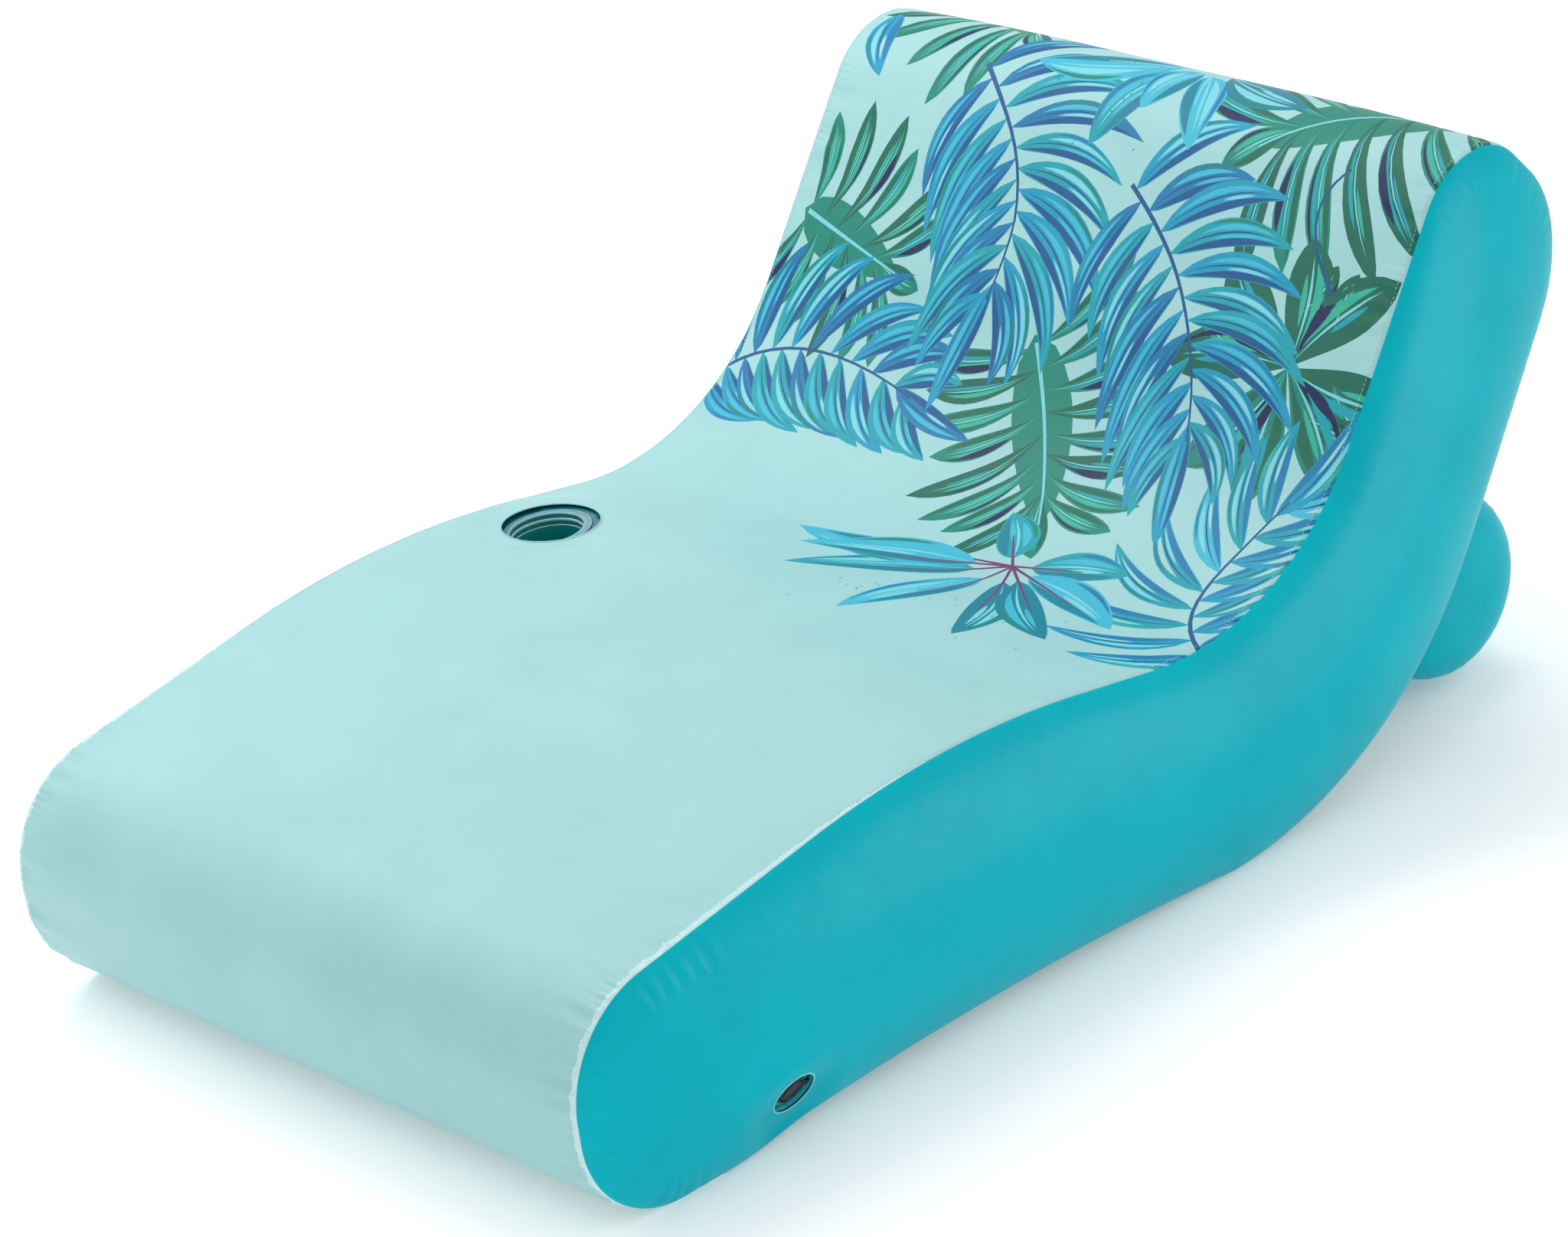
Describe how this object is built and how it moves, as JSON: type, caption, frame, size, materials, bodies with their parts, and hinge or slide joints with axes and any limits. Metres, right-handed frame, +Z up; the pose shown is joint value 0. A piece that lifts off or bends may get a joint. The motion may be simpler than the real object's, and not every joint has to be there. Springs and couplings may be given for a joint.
{
  "type": "inflatable pool float",
  "caption": "Fabric-covered inflatable pool lounger with a raised backrest, a rear bolster, a cup holder and air valves.",
  "frame": {"origin": "on the floor, in the middle of the float's length and width", "axes": "+Z up, +Y from the foot end to the backrest, +X towards the side with the main inflation valve"},
  "size_m": [0.968, 1.452, 0.636],
  "materials": {
    "printed_fabric": "smooth woven polyester, aqua ground with a leaf print",
    "aqua_fabric": "smooth woven polyester",
    "teal_fabric": "smooth woven polyester",
    "underside_fabric": "smooth woven polyester",
    "teal_vinyl": "soft sheet vinyl",
    "cup_vinyl": "soft sheet vinyl",
    "flange_vinyl": "embossed weld ring",
    "valve_vinyl": "moulded soft vinyl",
    "valve_moulding": "moulded plastic",
    "black_moulding": "moulded plastic",
    "seal_rubber": "silicone rubber",
    "clear_vinyl": "translucent soft vinyl",
    "zip_tape": "woven zip tape",
    "zip_coil": "nylon coil",
    "zip_moulding": "moulded plastic"
  },
  "bodies": {
    "float": {"back_web_1": "teal_vinyl", "back_web_2": "teal_vinyl", "back_web_3": "teal_vinyl", "bladder_bottom_sheet": "teal_vinyl", "bladder_side_left": "teal_vinyl", "bladder_side_right": "teal_vinyl", "bladder_top_sheet": "teal_vinyl", "bolster_bladder": "teal_vinyl", "bolster_cover": "teal_fabric", "bolster_end_left": "teal_fabric", "bolster_end_right": "teal_fabric", "bolster_tie": "teal_fabric", "cover_back_panel": "teal_fabric", "cover_side_left": "teal_fabric", "cover_side_right": "teal_fabric", "cover_top_panel": "printed_fabric", "cover_underside_panel": "underside_fabric", "cup_flange": "flange_vinyl", "cup_floor": "cup_vinyl", "cup_opening_hem": "aqua_fabric", "cup_well": "cup_vinyl", "hip_web": "teal_vinyl", "seat_web_1": "teal_vinyl", "seat_web_2": "teal_vinyl", "seat_web_3": "teal_vinyl", "seat_web_4": "teal_vinyl", "seat_web_5": "teal_vinyl", "seat_web_6": "teal_vinyl", "stem_valve_base": "valve_vinyl", "valve_base": "valve_vinyl", "valve_opening_hem": "teal_fabric", "zip_coil": "zip_coil", "zip_end_stops": "zip_coil", "zip_tape_lower": "zip_tape", "zip_tape_upper": "zip_tape"},
    "zip_slider": {"zip_slider": "zip_moulding"},
    "zip_pull": {"zip_pull": "zip_moulding"},
    "valve_seal": {"valve_gasket": "seal_rubber"},
    "valve_body": {"valve_body": "valve_moulding", "valve_cap_strap": "black_moulding"},
    "valve_cap": {"valve_cap": "black_moulding"},
    "valve_flap": {"valve_flap": "seal_rubber"},
    "stem": {"stem_valve_stem": "clear_vinyl"},
    "stem_plug": {"stem_valve_plug": "clear_vinyl"}
  },
  "joints": [
    {"name": "zip_slide", "type": "slide", "parent": "float", "child": "zip_slider", "axis": [1, 0, 0], "range_m": [-0.63, 0]},
    {"name": "zip_pull_swing", "type": "hinge", "parent": "zip_slider", "child": "zip_pull", "pos_m": [0.315, 0.64132, 0.32313], "axis": [1, 0, 0], "range_deg": [-40, 100]},
    {"name": "valve_lift", "type": "slide", "parent": "float", "child": "valve_seal", "axis": [0.866, 0, -0.5], "range_m": [0, 0.00451]},
    {"name": "valve_turn", "type": "hinge", "parent": "valve_seal", "child": "valve_body", "pos_m": [0.46429, -0.481, 0.0594], "axis": [0.866, 0, -0.5], "range_deg": [0, 540]},
    {"name": "valve_cap_swing", "type": "hinge", "parent": "valve_body", "child": "valve_cap", "pos_m": [0.45663, -0.49972, 0.05572], "axis": [-0.4682, 0.3511, -0.8109], "range_deg": [0, 85]},
    {"name": "valve_flap_swing", "type": "hinge", "parent": "valve_body", "child": "valve_flap", "pos_m": [0.45189, -0.481, 0.08331], "axis": [0, 1, 0], "range_deg": [0, 55]},
    {"name": "stem_push", "type": "slide", "parent": "float", "child": "stem", "axis": [1, 0, 0], "range_m": [0, 0.0115]},
    {"name": "stem_plug_swing", "type": "hinge", "parent": "stem", "child": "stem_plug", "pos_m": [-0.3881, 0.601, 0.1295], "axis": [0, 1, 0], "range_deg": [0, 110]}
  ],
  "couplings": [
    {"joint": "valve_lift", "follows": "valve_turn", "m_per_rad": 0.00047746}
  ]
}
